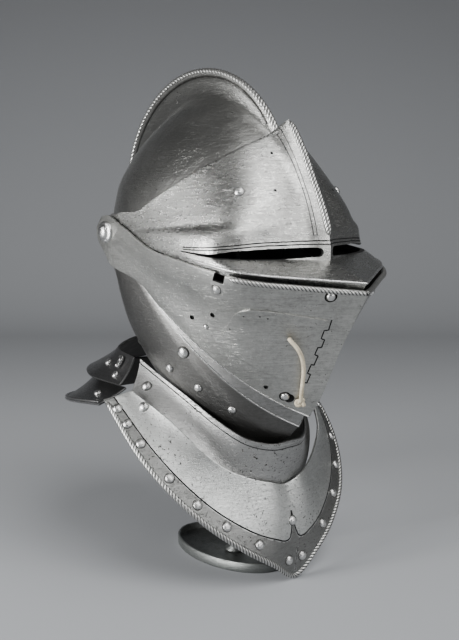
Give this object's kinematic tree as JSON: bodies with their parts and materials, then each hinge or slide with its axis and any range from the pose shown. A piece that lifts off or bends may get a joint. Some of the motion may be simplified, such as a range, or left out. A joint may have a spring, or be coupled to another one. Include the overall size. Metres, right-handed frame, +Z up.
{
  "type": "close helmet on stand",
  "caption": "Close helmet of plate armour with a combed skull, a visor with sight slits, an upper bevor with a tied breath door, a bevor and flared neck plates, held on a low stand.",
  "frame": {"origin": "middle of the stand's underside, on the floor", "axes": "+Z up, the face looks along -Y, the wearer's right side is -X"},
  "size_m": [0.226, 0.334, 0.4263],
  "materials": {
    "plate_steel": "satin, finely scratched, lightly pitted",
    "dark_steel": "dark, dull and pitted",
    "rivet_steel": "rubbed bright",
    "thong_leather": "pale tawed leather",
    "stand_metal": "plain grey"
  },
  "bodies": {
    "skull": {"gorget_rear": "dark_steel", "gorget_rear_rivet_left": "rivet_steel", "gorget_rear_rivet_right": "rivet_steel", "neck_catch": "plate_steel", "pivot_bolt_left": "rivet_steel", "pivot_bolt_right": "rivet_steel", "rear_lame": "dark_steel", "rear_lame_rivet_high_left": "rivet_steel", "rear_lame_rivet_high_right": "rivet_steel", "rear_lame_rivet_low_left": "rivet_steel", "rear_lame_rivet_low_right": "rivet_steel", "skull": "plate_steel", "stand_base": "stand_metal", "stand_post": "stand_metal"},
    "bevor": {"bevor": "plate_steel", "bevor_hinge_rivet_left": "rivet_steel", "bevor_hinge_rivet_right": "rivet_steel", "bevor_lining_rivet_a_left": "rivet_steel", "bevor_lining_rivet_a_right": "rivet_steel", "bevor_lining_rivet_b_left": "rivet_steel", "bevor_lining_rivet_b_right": "rivet_steel", "bevor_lining_rivet_c_left": "rivet_steel", "bevor_lining_rivet_c_right": "rivet_steel", "border_rivet_1_left": "rivet_steel", "border_rivet_1_right": "rivet_steel", "border_rivet_2_left": "rivet_steel", "border_rivet_2_right": "rivet_steel", "border_rivet_3_left": "rivet_steel", "border_rivet_3_right": "rivet_steel", "border_rivet_4_left": "rivet_steel", "border_rivet_4_right": "rivet_steel", "border_rivet_5_left": "rivet_steel", "border_rivet_5_right": "rivet_steel", "border_rivet_6_left": "rivet_steel", "border_rivet_6_right": "rivet_steel", "border_rivet_7_left": "rivet_steel", "border_rivet_7_right": "rivet_steel", "border_rivet_8_left": "rivet_steel", "border_rivet_8_right": "rivet_steel", "border_rivet_point": "rivet_steel", "gorget_front": "plate_steel", "gorget_strap_rivet_left": "rivet_steel", "gorget_strap_rivet_right": "rivet_steel", "neck_lame": "plate_steel", "neck_lame_rivet_left": "rivet_steel", "neck_lame_rivet_right": "rivet_steel"},
    "upper_bevor": {"thong": "thong_leather", "upper_bevor": "plate_steel", "upper_bevor_stud_low_left": "rivet_steel", "upper_bevor_stud_low_right": "rivet_steel", "upper_bevor_stud_top_left": "rivet_steel", "upper_bevor_stud_top_right": "rivet_steel", "vent_door": "plate_steel"},
    "visor": {"visor": "plate_steel", "visor_rivet_left": "rivet_steel", "visor_rivet_right": "rivet_steel"}
  },
  "joints": [
    {"name": "bevor_lift", "type": "hinge", "parent": "skull", "child": "bevor", "pos_m": [0, 0.046, 0.288], "axis": [-1, 0, 0], "range_deg": [0, 54]},
    {"name": "upper_bevor_lift", "type": "hinge", "parent": "bevor", "child": "upper_bevor", "pos_m": [0, 0.046, 0.288], "axis": [-1, 0, 0], "range_deg": [0, 24]},
    {"name": "visor_lift", "type": "hinge", "parent": "upper_bevor", "child": "visor", "pos_m": [0, 0.046, 0.288], "axis": [-1, 0, 0], "range_deg": [0, 60]}
  ]
}
